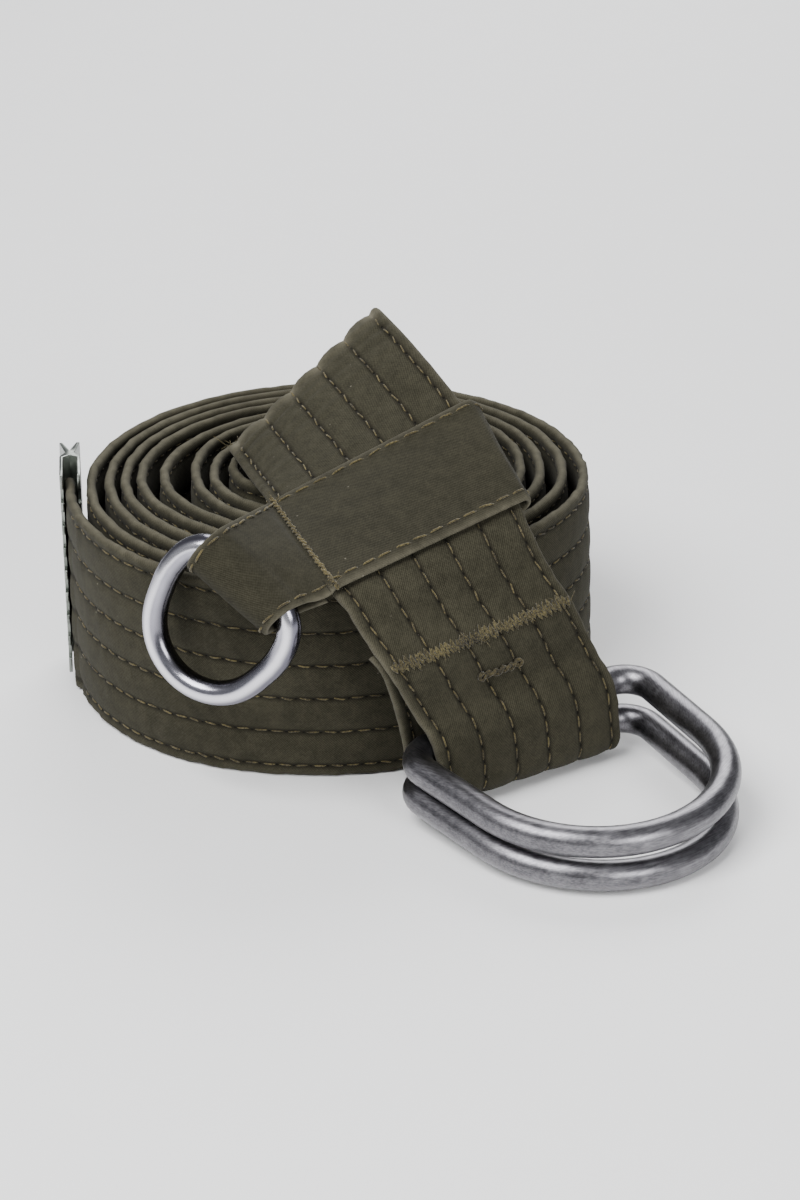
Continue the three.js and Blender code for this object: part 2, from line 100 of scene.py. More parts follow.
DIRECTIONS = {"left": 180, "front_left": 225, "front": 270, "front_right": 320,
              "right": 360, "back_right": 405, "back_left": 495}
NAMES = list(DIRECTIONS)
OUTER_TURN = [1.01, 1.02, 0.99, 0.88, 0.95, 0.975, 0.938]
SPARE_GAPS = [
    [0.66, 0.85, 0.85, 1.1, 0.8, 0.25, 0.15],
    [0.49, 1, 0.9, 0.8, 0.9, 0.5, 0.3],
    [0.25, 0.7, 0.9, 0.5, 0.7, 0.35, 0.25],
    [0.3, 1, 0.95, 0.35, 0.6, 0.5, 1],
    [0.95, 1, 1, 0.45, 0.7, 0.55, 0.3],
    [1.75, 1, 1, 0.65, 0.85, 0.75, 1.2],
    [0.5, 1, 1.7, 1, 1.2, 1.4, 0.5],
    [1, 4.1],
]
FLARES = [0, 0.57, 1, 0, -0.23, -0.05, 0]
# The rise out of the coil: low and high edge, x and y as shares of the coil, z of the belt's width
RISE = [
    (0.02, -0.16, 0.12, 0.02, -0.16, 1.12),
    (0.17, -0.1, 0.24, 0.18, -0.11, 1.2),
    (0.15, 0.04, 0.4, 0.23, 0, 1.3),
    (-0.08, 0.12, 0.66, 0.26, 0.1, 1.42),
]
# The same for the end that crosses the coil, with the share of the width that it spans
CROSSING = [
    (-0.381, 0.072, 0.991, 0.173, 0.333, 1.566, 0.96),
    (-0.31, -0.179, 0.985, 0.315, 0.075, 1.51, 0.965),
    (-0.215, -0.49, 1.01, 0.49, -0.212, 1.36, 0.975),
    (-0.09, -0.865, 1, 0.588, -0.458, 1.235, 0.985),
    (0.03, -1.133, 0.943, 0.692, -0.65, 1.088, 1),
]
# The loop round the ring bars: along, out and up from the lower bar in shares of its wire, and tilt
RING_LOOP = [
    (-2.45, -1.1, 6.6, 0.11), (-2.13, -0.8, 5.77, 0.095), (-1.9, -0.42, 5.17, 0.09),
    (-1.7, 0.06, 4.62, 0.087), (-0.8, 0.25, 2.77, 0.05), (-0.42, 0.72, 1.79, 0.04),
    (-0.25, 0.87, 0.55, 0.01), (-0.14, 0.75, -0.42, 0), (-0.1, 0.1, -0.75, 0),
    (-0.2, -0.68, -0.5, 0), (-0.35, -0.86, 0.35, 0), (-0.6, -0.84, 1.5, 0.02),
    (-1.1, -0.52, 2.9, 0.05), (-1.65, -0.42, 4.45, 0.085), (-1.85, -0.82, 4.85, 0.09),
]
LOOP_SPAN = 0.965
COIL_CENTRE = np.array([0.01, -0.02]) * COIL_RADIUS
BIG_BAR = np.array([0.7 * COIL_RADIUS, -0.896 * COIL_RADIUS, BIG_BAR_HEIGHT])
SMALL_BAR = np.array([-0.27 * COIL_RADIUS, -1.076 * COIL_RADIUS, 1.068 * BELT_WIDTH])
HALF_CLOTH = CLOTH_THICKNESS / 2
OVER_RIM = PIECE_GAP + KEEPER_THICKNESS + KEEPER_GAP + HALF_CLOTH
UP = np.array([0.0, 0.0, 1.0])


# %% Smooth curves and vectors
def unit(v):
    return v / np.linalg.norm(v)


def units(v):
    """Every vector of an array at length one."""
    return v / np.linalg.norm(v, axis=-1, keepdims=True)


def travelled_along(line):
    """How far along a line each of its points is."""
    return np.r_[0, np.cumsum(np.linalg.norm(np.diff(line, axis=0), axis=1))]


def points_along(at, places, line):
    """The points of a line at places between its own."""
    return np.stack([np.interp(at, places, line[:, k]) for k in range(line.shape[1])], -1)


def hump(at, middle, reach):
    """1 at the middle, falling smoothly to nearly 0 at twice the reach."""
    return np.exp(-(((at - middle) / reach) ** 2))


def smooth_at(places, values, place):
    """A smooth curve through values at uneven places."""
    values = np.asarray(values, float)
    i = int(np.clip(np.searchsorted(places, place) - 1, 0, len(places) - 2))

    def slope(k):
        a, b = max(k - 1, 0), min(k + 1, len(places) - 1)
        return (values[b] - values[a]) / (places[b] - places[a])

    length = places[i + 1] - places[i]
    t = (place - places[i]) / length
    ends = (2 * t**3 - 3 * t**2 + 1) * values[i] + (3 * t**2 - 2 * t**3) * values[i + 1]
    return ends + length * ((t**3 - 2 * t**2 + t) * slope(i) + (t**3 - t**2) * slope(i + 1))


# %% The coil
def coil_table():
    angles, radii = [], []
    radius = [share * COIL_RADIUS for share in OUTER_TURN]
    for turn in range(len(SPARE_GAPS) + 1):
        row = OUTER_TURN if turn == 0 else SPARE_GAPS[turn - 1]
        for k, share in enumerate(row):
            if turn:
                radius[k] -= CLOTH_THICKNESS + TURN_GAP + share * LOOSE_GAP
            angles.append(DIRECTIONS[NAMES[k]] + 360 * turn)
            radii.append(radius[k])
    return angles, radii


COIL_ANGLES, COIL_RADII = coil_table()
LAST_TURN = len(SPARE_GAPS)


def flare_at(angle):
    places = [DIRECTIONS[name] for name in NAMES] + [DIRECTIONS["left"] + 360]
    first = DIRECTIONS["left"]
    share = smooth_at(places, FLARES + FLARES[:1], first + (angle - first) % 360)
    return RIM_FLARE * share * max(0.0, 1 - (angle - first) / 360 / LAST_TURN)


def coil_station(angle):
    rim = smooth_at(COIL_ANGLES, COIL_RADII, angle)
    flare = flare_at(angle)
    height = math.sqrt(BELT_WIDTH**2 - (1.5 * flare) ** 2)
    turned = np.array([math.cos(math.radians(angle)), math.sin(math.radians(angle))])

    def place(radius, z):
        return np.array([*(COIL_CENTRE + radius * turned), z])

    half_up = place(rim - HALF_UP_FLARE * flare, height / 2)
    return np.array([place(rim - flare, 0), half_up, place(rim, height)])


def upright(station):
    low = np.array([station[2][0], station[2][1], 0])
    return np.array([low, (low + station[2]) / 2, station[2]])


# %% The free end
def row_station(row, lift):
    scale = np.array([COIL_RADIUS, COIL_RADIUS, BELT_WIDTH])
    low, high = np.array(row[:3]) * scale + lift * UP, np.array(row[3:6]) * scale + lift * UP
    middle = (low + high) / 2
    across = unit(high - low) * (row[6] if len(row) > 6 else 1) * BELT_WIDTH / 2
    return np.array([middle - across, middle, middle + across])


BAR_ALONG = np.array([math.cos(BIG_BAR_ANGLE), math.sin(BIG_BAR_ANGLE), 0])
BAR_OUT = np.array([math.sin(BIG_BAR_ANGLE), -math.cos(BIG_BAR_ANGLE), 0])


def loop_station(row):
    along, out, rise, tilt = row
    middle = BIG_BAR + BIG_WIRE * (along * BAR_ALONG + out * BAR_OUT + rise * UP)
    across = (BAR_ALONG * math.cos(tilt) + UP * math.sin(tilt)) * LOOP_SPAN * BELT_WIDTH / 2
    return np.array([middle - across, middle, middle + across])


def fold_stations():
    top, following = row_station(CROSSING[0], OVER_RIM), row_station(CROSSING[1], OVER_RIM)
    across = unit(top[2] - top[0])
    face = unit(np.cross(following[1] - top[1], across))
    ahead = np.cross(across, face)
    under = -2 * FOLD_RADIUS * face
    stations = [top + under + 4 * FOLD_RADIUS * ahead, top + under]
    for turn in (45, 90, 135):
        a = math.radians(turn)
        stations.append(top - FOLD_RADIUS * (ahead * math.sin(a) + face * (1 + math.cos(a))))
    return stations


TIP_START = COIL_ANGLES[0] + math.degrees(1.35 * CLAMP_GRIP / COIL_RADIUS)
TIP_TURN = (COIL_ANGLES[0] + 2 * TIP_START) / 3
TIP_AWAY = unit(upright(coil_station(TIP_TURN))[0] - upright(coil_station(TIP_TURN + 1))[0])
CAD_STEPS = round((COIL_ANGLES[-1] - TIP_START) / 360 * 28)
CAD_ANGLES = [TIP_START + (COIL_ANGLES[-1] - TIP_START) * i / CAD_STEPS
              for i in range(CAD_STEPS + 1)]
END_KEYS = ([coil_station(a) for a in CAD_ANGLES[-2:]] + [row_station(row, 0) for row in RISE]
            + fold_stations() + [row_station(row, OVER_RIM) for row in CROSSING]
            + [loop_station(row) for row in RING_LOOP])
END_PLACES = [0.0]
for before, after in zip(END_KEYS, END_KEYS[1:]):
    END_PLACES.append(END_PLACES[-1] + float(np.linalg.norm(after[1] - before[1])))


def end_at(place):
    return smooth_at(END_PLACES, END_KEYS, place)


FOLD_KEY = 2 + len(RISE) + 3
CROSSING_KEY = FOLD_KEY + 2
LOOP_KEY = CROSSING_KEY + len(CROSSING)

# %% All stations of the belt, close together where the camera looks
SEEN_ARC, SEEN_STEP, HIDDEN_STEP = 280, 1.5, 3.6
FOLD_STEP, END_STEP, UNSEEN_STEP, FOLD_REACH = 0.35, 0.75, 1.6, 7
TUCK, TUCK_BEFORE_FOLD, TUCK_REACH = 1.4, 7, 5
TURNED_BACK = LOOP_KEY + 9
tip_base = upright(coil_station(TIP_START))
rows = [tip_base + TIP_AWAY * TIP_LENGTH, tip_base + TIP_AWAY * TIP_LENGTH / 2, tip_base]
angle = TIP_START
while angle < CAD_ANGLES[-2] - 1:
    angle += SEEN_STEP if angle < TIP_START + SEEN_ARC else HIDDEN_STEP
    rows.append(coil_station(min(angle, CAD_ANGLES[-2])))
steps = [0.0]
while steps[-1] < END_PLACES[-1] - 0.3:
    near_fold = abs(steps[-1] - END_PLACES[FOLD_KEY]) < FOLD_REACH
    unseen = steps[-1] < END_PLACES[FOLD_KEY - 3] or steps[-1] > END_PLACES[TURNED_BACK]
    steps.append(steps[-1] + (FOLD_STEP if near_fold else UNSEEN_STEP if unseen else END_STEP))
rows += [end_at(place) for place in steps[1:-1]] + [end_at(END_PLACES[-1])]
ROWS = np.array(rows)
PATH = travelled_along(ROWS[:, 1])
END_USED = steps[1:-1] + [END_PLACES[-1]]
KEY_PLACES = np.interp(END_PLACES, END_USED, PATH[-len(END_USED):])
tuck = TUCK * hump(PATH, KEY_PLACES[FOLD_KEY] - TUCK_BEFORE_FOLD, TUCK_REACH)[:, None]
edge_side = ROWS[:, 2] - ROWS[:, 1]
ROWS[:, 2] -= tuck * units(edge_side)
print("belt rows", len(ROWS), "length mm", round(float(PATH[-1]), 1))


# %% A place on the belt, by the length along it and the share across it
def belt_rows(s):
    s = np.asarray(s, float)
    i = np.clip(np.searchsorted(PATH, s) - 1, 0, len(PATH) - 2)
    t = ((s - PATH[i]) / (PATH[i + 1] - PATH[i]))[..., None, None]
    return ROWS[i] * (1 - t) + ROWS[i + 1] * t


def belt_point(s, w):
    row, w = belt_rows(s), np.asarray(w, float)[..., None]
    low, middle, high = row[..., 0, :], row[..., 1, :], row[..., 2, :]
    return low * (1 - w) * (1 - 2 * w) + middle * 4 * w * (1 - w) + high * w * (2 * w - 1)


def belt_face(s, w):
    s, w = np.asarray(s, float), np.asarray(w, float)
    forward = belt_point(s + 0.4, w) - belt_point(s - 0.4, w)
    side = belt_point(s, w + 0.02) - belt_point(s, w - 0.02)
    return units(np.cross(forward, side))


# %% [markdown]
# The solids are packed about the middle of the whole object's box, so the belt's own frame is moved
# by one shift. The lower ring gives it: its outline is worked out here and set against its node.

# %% The rings' outlines and the shift
CORNER_STEPS, ARC_STEPS = 12, 32


def ring_outline(half_width, depth, corner, taper):
    """The measures of a D's centre line: half its bar, its corners and the arc that closes it."""
    arc_y = (depth - half_width * math.cos(taper)) / (1 - math.sin(taper))
    arc_radius = depth - arc_y
    bar_half = half_width - math.tan(taper) * corner - corner / math.cos(taper)
    return {"bar": bar_half, "corner": corner, "turn": math.pi / 2 + taper, "taper": taper,
            "arc_y": arc_y, "arc_radius": arc_radius}


def outline_points(d):
    half = []
    for k in range(CORNER_STEPS + 1):
        a = -math.pi / 2 + d["turn"] * k / CORNER_STEPS
        half.append((d["bar"] + d["corner"] * math.cos(a), d["corner"] * (1 + math.sin(a))))
    for k in range(ARC_STEPS + 1):
        a = d["taper"] + (math.pi / 2 - d["taper"]) * k / ARC_STEPS
        half.append((d["arc_radius"] * math.cos(a), d["arc_y"] + d["arc_radius"] * math.sin(a)))
    return half + [(-x, y) for x, y in reversed(half[:-1])]


def ring_frame(lift, roll):
    sink = math.asin((BIG_BAR_HEIGHT - BIG_WIRE / 2) / BIG_DEPTH)
    along = BAR_ALONG * math.cos(roll) + UP * math.sin(roll)
    out = BAR_OUT * math.cos(sink) - UP * math.sin(sink)
    out = unit(out - out.dot(along) * along)
    return BIG_BAR + lift * UP, along, out


BIG = ring_outline(BELT_WIDTH / 2 + BIG_SIDE_ROOM + BIG_WIRE / 2, BIG_DEPTH, BIG_CORNER, BIG_TAPER)
SMALL = ring_outline(SMALL_HALF_WIDTH, SMALL_DEPTH, SMALL_CORNER, SMALL_TAPER)
centre, along, out = ring_frame(0, 0)
line = np.array([centre + along * x + out * y for x, y in outline_points(BIG)])
low, high = (np.array(c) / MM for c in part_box("lower_d_ring"))
SHIFT = (low + high) / 2 - (line.min(0) + line.max(0)) / 2
SHIFT[2] = 0
print("shift mm", SHIFT.round(3))


def placed(points):
    """Points in the belt's frame, in millimetres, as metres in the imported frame."""
    return (np.asarray(points, float) + SHIFT) * MM


# %% [markdown]
# ## Helpers for meshes
# A quilted band is a grid of places with a thickness at each. Its mesh runs over the outer face and
# back along the inner one, with both ends closed. Writing the grid in code keeps every seam and
# every channel where it should be, and gives each point its own place on the cloth for the weave.

# %% Meshes from rows
def in_scene(name, data):
    made = bpy.data.objects.new(name, data)
    bpy.context.scene.collection.objects.link(made)
    return made


def mesh_piece(name, points, faces, corner_uvs=None, attributes=None):
    mesh = bpy.data.meshes.new(name)
    mesh.from_pydata(np.asarray(points).tolist(), [], [list(map(int, f)) for f in faces])
    if corner_uvs is not None:
        layer = mesh.uv_layers.new(name="UVMap")
        layer.data.foreach_set("uv", np.asarray(corner_uvs, float).ravel())
    for key, values in (attributes or {}).items():
        layer = mesh.attributes.new(key, "FLOAT", "POINT")
        layer.data.foreach_set("value", np.asarray(values, float).ravel())
    mesh.polygons.foreach_set("use_smooth", [True] * len(mesh.polygons))
    mesh.update()
    return outward(in_scene(name, mesh))


def outward(piece):
    """Turns a closed mesh's faces outwards, by the sign of its volume."""
    work = bmesh.new()
    work.from_mesh(piece.data)
    if work.calc_volume(signed=True) < 0:
        bmesh.ops.reverse_faces(work, faces=work.faces)
    work.to_mesh(piece.data)
    work.free()
    return piece


def band_piece(name, outer, inner, lengths, widths, wear_and_highlight):
    """A closed band from its two faces. The first and last column are shared by both."""
    n, m = outer.shape[:2]
    back = inner[:, m - 2:0:-1]
    points = np.concatenate([outer, back], axis=1)
    count = points.shape[1]
    total = widths[-1] * 2
    v = np.r_[widths, total - widths[m - 2:0:-1], total]
    faces, uvs = [], []
    for i in range(n - 1):
        for k in range(count):
            b = (k + 1) % count
            faces.append((i * count + k, (i + 1) * count + k, (i + 1) * count + b, i * count + b))
            uvs.append(((lengths[i], v[k]), (lengths[i + 1], v[k]),
                        (lengths[i + 1], v[k + 1]), (lengths[i], v[k + 1])))
    for i, flip in ((0, False), (n - 1, True)):
        for k in range(1, m):
            ring = [k - 1, k, (count - k) % count, (count - k + 1) % count]
            ring = ring[:2] + ring[3:] if k == m - 1 else ring[:3] if k == 1 else ring
            ring = ring[::-1] if flip else ring
            faces.append([i * count + j for j in ring])
            uvs.append([(lengths[i], v[j]) for j in ring])
    corner_uvs = np.array([pair for face in uvs for pair in face]) * MM
    wear_and_highlight_all = np.concatenate([wear_and_highlight, wear_and_highlight[:, m - 2:0:-1]], axis=1)
    return mesh_piece(name, placed(points.reshape(-1, 3)), faces, corner_uvs, {"wear_and_highlight": wear_and_highlight_all})


# %% [markdown]
# ## The quilted belt
# Two layers of twill with thin padding are sewn together by six lines of stitching, which leave
# five channels and a narrow hem on each side. The section is drawn directly: full between the
# lines, pinched at them and puckered by the thread. At the fold the channels bulge outwards.

# %% The belt's section
SEAMS = np.array([0.055, 0.233, 0.411, 0.589, 0.767, 0.945])
CHANNEL = SEAMS[1] - SEAMS[0]
STITCH = 3.1
FOLD_PLACE = KEY_PLACES[FOLD_KEY]
TACK_PLACE = 1809.4
SMALL_TACK_PLACE = 1817.0
# Half the cloth's thickness at a seam, and what a channel and a hem add to it
AT_SEAM, IN_CHANNEL, IN_HEM = 0.58, 0.46, 0.34
HEM_RAMP = 1.3
PUCKER, PUCKER_REACH = 0.3, 2.4
PRESSED, PRESSED_REACH = 0.3, 1.9
BULGE, CREASE, FOLD_SPAN = 0.38, 0.25, 2.4
EDGE_ROUND = 0.022
WAVE, HEM_WAVE, HEM_SHARE = 0.07, 0.26, 0.035
phases = np.random.default_rng(7).uniform(0, 2 * math.pi, (6, 4))


def ripple(s, w, length, k):
    """A soft unevenness along the belt, between -1 and 1, the same in every run."""
    a = np.sin(2 * math.pi * s / length + phases[k, 0] + 2.1 * np.sin(5.1 * w + phases[k, 1]))
    b = np.sin(2 * math.pi * s / (0.61 * length) + phases[k, 2]
               + 3 * np.sin(3.7 * w + phases[k, 3]))
    return (a + b + np.sin(2 * math.pi * s / (1.73 * length) - 4 * w)) / 3


def half_cloth(s, w, side):
    """Half the belt's thickness on one of its faces, where side 1 is the coil's outer face."""
    s, w = np.broadcast_arrays(np.asarray(s, float), np.asarray(w, float))
    edge = np.minimum(w, 1 - w)
    near = np.abs(w[..., None] - SEAMS).min(-1) * BELT_WIDTH
    channel = np.clip((w - SEAMS[0]) / CHANNEL % 1, 0, 1)
    inside = (w > SEAMS[0]) & (w < SEAMS[-1])
    ramp = np.clip(near / HEM_RAMP, 0, 1)
    crown = np.where(inside, np.sin(math.pi * channel) ** 0.6, ramp**0.7)
    h = AT_SEAM + np.where(inside, IN_CHANNEL, IN_HEM) * crown
    pucker = PUCKER * ripple(s, w, 6.3, 1) * ripple(s, w, 29.0, 2)
    h = h + hump(near, 0, PUCKER_REACH) * (pucker - 0.05 * np.cos(2 * math.pi * s / STITCH))
    h = h * (1 - PRESSED * hump(s, TACK_PLACE, PRESSED_REACH))
    fold = BULGE * hump(s, FOLD_PLACE, FOLD_SPAN) * (side > 0)
    bulge = np.where(inside, np.sin(math.pi * channel) ** 0.8, 0.3 * ramp)
    crease = CREASE * ripple(s, w, 4.1, 4) * hump(s, FOLD_PLACE + 6, 7)
    h = h + (fold * bulge + crease) * np.clip(edge / 0.03, 0, 1)
    return h * np.sqrt(np.clip(1 - np.clip(1 - edge / EDGE_ROUND, 0, 1) ** 2, 0, 1))


def belt_surface(s, w, side, lift=0.0):
    s, w = np.broadcast_arrays(np.asarray(s, float), np.asarray(w, float))
    at_hem = np.exp(-np.minimum(w, 1 - w) / HEM_SHARE) * (1 - hump(s, FOLD_PLACE, 16))
    sway = WAVE * ripple(s, w, 37.0, 3) + HEM_WAVE * at_hem * ripple(s, w, 5.6, 0)
    offset = side * (half_cloth(s, w, side) + lift) + sway
    return belt_point(s, w) + belt_face(s, w) * np.asarray(offset)[..., None]


# %% The belt's mesh
EDGE = [0, 0.004, 0.013, 0.028]
INNER = [float(seam + CHANNEL * t) for seam in SEAMS[:-1] for t in (0, 0.12, 0.36, 0.64, 0.88)]
ACROSS = np.array(EDGE + INNER + [SEAMS[-1]] + [1 - e for e in reversed(EDGE)])
S, W = np.meshgrid(PATH, ACROSS, indexing="ij")
from_seam = np.abs(W[..., None] - SEAMS).min(-1) * BELT_WIDTH
from_edge = np.minimum(W, 1 - W)
# The hems and the top of the fold get a paler tone, partly wear and partly a painted highlight
hem_wear_and_highlight = 0.45 * np.exp(-from_edge / 0.01)
fold_wear_and_highlight = hump(S, FOLD_PLACE + 2, FOLD_SPAN) * (0.28 + 0.9 * np.exp(-from_seam / 0.9))
belt = band_piece("quilted_belt", belt_surface(S, W, 1), belt_surface(S, W, -1), PATH,
                  ACROSS * BELT_WIDTH, np.clip(hem_wear_and_highlight + fold_wear_and_highlight, 0, 1))
print("belt: rows", len(PATH), "faces", len(belt.data.polygons))

# %% [markdown]
# ## Thread
# A lockstitch shows as short raised lengths of thread that dive into the cloth at each hole. One
# stitch is a closed bead, swept along its own length of the surface so that it follows every curve.
# Thousands are needed, so each has about two dozen faces, and those hardly seen have ten.

# %% Beads of thread
LOOSENESS, SLANT = 0.045, 0.06


def beads(paths, ups, radius, sides):
    """Closed beads along many short paths at once, thinner at both ends."""
    count, n = paths.shape[:2]
    forward = units(np.gradient(paths, axis=1))
    side = units(np.cross(forward, ups))
    top = np.cross(side, forward)
    reach = radius * np.r_[0.5, np.ones(n - 2), 0.5]
    turn = 2 * math.pi * (np.arange(sides) + 0.5) / sides
    round_ = np.cos(turn)[:, None] * side[:, :, None] + np.sin(turn)[:, None] * top[:, :, None]
    points = paths[:, :, None] + reach[None, :, None, None] * round_
    index = np.arange(count * n * sides).reshape(count, n, sides)
    after = np.roll(index, -1, axis=2)
    quads = np.stack([index[:, :-1], index[:, 1:], after[:, 1:], after[:, :-1]], -1).reshape(-1, 4)
    caps = np.concatenate([index[:, 0], index[:, -1, ::-1]])
    return points.reshape(-1, 3), quads.tolist() + caps.tolist()


def joined(name, parts):
    """One piece from several lots of beads."""
    points, faces, base = [], [], 0
    for lot, lot_faces in parts:
        points.append(lot)
        faces += [[base + v for v in face] for face in lot_faces]
        base += len(lot)
    return mesh_piece(name, placed(np.concatenate(points)), faces)


def stitches_on(places, line, normals, first, last, pitch, hole, radius, sides=6, stations=5):
    """Stitches along a line on cloth, each slanting a little, with a hole between each two."""
    starts = np.arange(first, last - pitch, pitch)
    loose = np.random.default_rng(len(starts)).normal(0, LOOSENESS * pitch, (2, len(starts), 1))
    t = np.linspace(-1, 1, stations)
    at = starts[:, None] + loose[0] + hole / 2 + (t + 1) / 2 * (pitch - hole)
    path = points_along(at, places, line)
    ups = units(points_along(at, places, normals))
    aside = units(np.cross(np.gradient(path, axis=1), ups))
    path = path + aside * ((SLANT + loose[1]) * t)[..., None]
    lift = radius * (0.75 - 1.9 * t**4)
    return beads(path + ups * lift[None, :, None], ups, radius, sides)


# %% The seams' stitches
STAGGER, SEAM_HOLE, SEAM_THREAD = 0.37, 0.5, 0.142
FIRST_STITCH, TURN_SEEN = 8, 330.0
SEEN, UNSEEN = (6, 5), (4, 3)


def seam_stitches(side, start, end, sides, stations):
    places = np.arange(start, end, 0.5)
    lots = []
    for j, seam in enumerate(SEAMS):
        across = np.full(places.shape, seam)
        line, normals = belt_surface(places, across, side), belt_face(places, across) * side
        first = start + (-start % STITCH) + STAGGER * (abs(j - 2.5) - 0.5) * STITCH
        lots.append(stitches_on(places, line, normals, first, end - 1, STITCH, SEAM_HOLE,
                                SEAM_THREAD, sides, stations))
    return lots


behind_rings = KEY_PLACES[TURNED_BACK]
visible = (seam_stitches(1, FIRST_STITCH, TURN_SEEN, *SEEN)
           + seam_stitches(1, FOLD_PLACE + 0.6, behind_rings, *SEEN))
hidden = (seam_stitches(1, TURN_SEEN, FOLD_PLACE - 1, *UNSEEN)
          + seam_stitches(1, behind_rings, PATH[-1] - 1, *UNSEEN)
          + seam_stitches(-1, FIRST_STITCH, PATH[-1] - 1, *UNSEEN))
seam_thread = joined("seam_stitches", visible)
inner_thread = joined("inner_seam_stitches", hidden)
print("stitch faces", len(seam_thread.data.polygons), len(inner_thread.data.polygons))

# %% [markdown]
# Where the end is turned back round the rings, a dense zigzag holds both layers across the whole
# width, with a looser row over it. A short tack sits just below: two strands wound round each other
# and knotted at both ends.

# %% The tacks
def zigzag(place, first, last, swing, step, radius, seed):
    count = int((last - first) * BELT_WIDTH / step)
    loose = np.random.default_rng(seed).normal(0, 0.17, (2, count))
    keys = np.arange(count)
    s = place + swing * np.where(keys % 2, 1, -1) + loose[0]
    w = first + (last - first) * keys / (count - 1) + loose[1] * 0.004
    fine = np.linspace(0, count - 1, (count - 1) * 4 + 1)
    s, w = np.interp(fine, keys, s), np.interp(fine, keys, w)
    lift = radius * (0.5 + 0.45 * np.abs(np.cos(math.pi * fine)))
    return beads(belt_surface(s, w, 1, lift)[None], belt_face(s, w)[None], radius, 6)


bar_tack = joined("bar_tack", [zigzag(TACK_PLACE, 0.02, 0.98, 0.95, 0.52, 0.26, 3),
                               zigzag(TACK_PLACE + 0.1, 0.03, 0.97, 0.7, 1.3, 0.23, 4)])

KNOT_POINTS, HAIR_POINTS, TACK_POINTS = 34, 9, 40


def twisted(line, normals, radius, pitch):
    """Two strands wound round each other along a line, knotted at both ends."""
    places = travelled_along(line)
    at = np.arange(0.3, places[-1] - 0.3, 0.12)
    path, ups = points_along(at, places, line), units(points_along(at, places, normals))
    forward = units(np.gradient(path, axis=0))
    aside = np.cross(forward, ups)
    wander = 0.11 * np.sin(2.3 * at) + 0.08 * np.sin(5.1 * at + 1)
    lots = []
    for phase in (0, math.pi):
        turn = 2 * math.pi * at / pitch + phase
        swing = radius * np.cos(turn) + wander
        raised = radius * (0.9 + 0.7 * np.sin(turn))
        strand = path + aside * swing[:, None] + ups * raised[:, None]
        lots.append(beads(strand[None], ups[None], radius, 6))
    for end in (0, -1):
        turn = np.linspace(0, 4.4 * math.pi, KNOT_POINTS)
        circle = np.cos(turn)[:, None] * aside[end] + np.sin(turn)[:, None] * forward[end]
        raised = radius * (0.9 + 0.5 * np.sin(2.6 * turn))
        curl = path[end] + 1.7 * radius * circle + ups[end] * raised[:, None]
        lots.append(beads(curl[None], np.tile(ups[end], (1, KNOT_POINTS, 1)), 0.85 * radius, 6))
    return lots


tack_shares = np.linspace(0.385, 0.605, TACK_POINTS)
tack_places = np.full(TACK_POINTS, SMALL_TACK_PLACE)
tack_line = belt_surface(tack_places, tack_shares, 1)
tack_face = belt_face(tack_places, tack_shares)
small_tack = joined("small_tack", twisted(tack_line, tack_face, 0.36, 3.1))


def loose_fibres(count, spots, reach, radius):
    """Fine hairs of frayed thread, each a short curl that starts at a frayed spot."""
    draw = np.random.default_rng(19)
    lots = []
    for i in range(count):
        start, face = spots[i % len(spots)]
        start = start + np.cross(face, draw.normal(0, 0.45, 3))
        heading, curl = unit(draw.normal(0, 1, 3) + face * 1.1), draw.normal(0, 0.8, 3)
        t = np.linspace(0, 1, HAIR_POINTS)[:, None]
        path = start + reach * draw.uniform(0.5, 1) * (t * heading + t**2 * curl * 0.6)
        lots.append(beads(path[None], np.tile(face, (1, HAIR_POINTS, 1)), radius, 4))
    return joined("loose_fibres", lots)


FRAYED = [(FOLD_PLACE, seam) for seam in SEAMS[:3]] + [(FOLD_PLACE + 1, 0.03)]
FRAYED += [(TACK_PLACE, share) for share in (0.04, 0.28, 0.5, 0.74, 0.96)]
frayed_spots = [(belt_surface(s, w, 1), belt_face(s, w)) for s, w in FRAYED]
print("tacks", len(bar_tack.data.polygons), len(small_tack.data.polygons))

# %% [markdown]
# ## The keeper
# A single band of plain twill goes under the belt, round its high edge, over the top, round the
# small ring's bar, and back. Its long edges are folded in and sewn, so they are thicker than its
# middle. Each line is drawn much as the solid's is, with a smooth curve through its points.

# %% The keeper's line
SMALL_ALONG = np.array([math.cos(SMALL_BAR_ANGLE) * math.cos(SMALL_BAR_DIP),
                        math.sin(SMALL_BAR_ANGLE) * math.cos(SMALL_BAR_DIP),
                        math.sin(SMALL_BAR_DIP)])
small_down = unit(-UP + SMALL_ALONG * SMALL_ALONG[2])
small_side = np.cross(SMALL_ALONG, small_down)
SMALL_OUT = small_down * math.cos(SMALL_HANG) + small_side * math.sin(SMALL_HANG)
KEEPER_FROM = END_PLACES[CROSSING_KEY + 2] + KEEPER_START
KEEPER_TO = END_PLACES[CROSSING_KEY + 4]
TAIL_WIDTH = KEEPER_LOOP_WIDTH + 3
TAIL_REACH = KEEPER_LOOP_REACH + 0.2
TAIL_CLEAR = 0.15
LOOP_TURNS = (75, 100, 125, 155, 180, 205, 235, 265, 290, 315)
# The tail's lower edge runs straight to the loop's end, so its cloth is spread a little there
TAIL_SPREAD = 1.7
SPREAD_SHARES = (0.5, 0.85, 1, 0.95, 0.7, 0.4, 0.15)


def keeper_frame(share):
    place = KEEPER_FROM + (KEEPER_TO - KEEPER_FROM) * share
    here = end_at(place)
    half = np.linalg.norm(here[2] - here[0]) / 2
    across = unit(here[2] - here[0])
    return here[1], half, across, unit(np.cross(end_at(place + 1)[1] - here[1], across))


middle, half, across, face = keeper_frame(0.5)
inward = middle - across * half - SMALL_BAR
INWARD = unit(inward - inward.dot(SMALL_ALONG) * SMALL_ALONG)
OVER = np.cross(SMALL_ALONG, INWARD)
OVER = OVER * np.sign(OVER.dot(face))


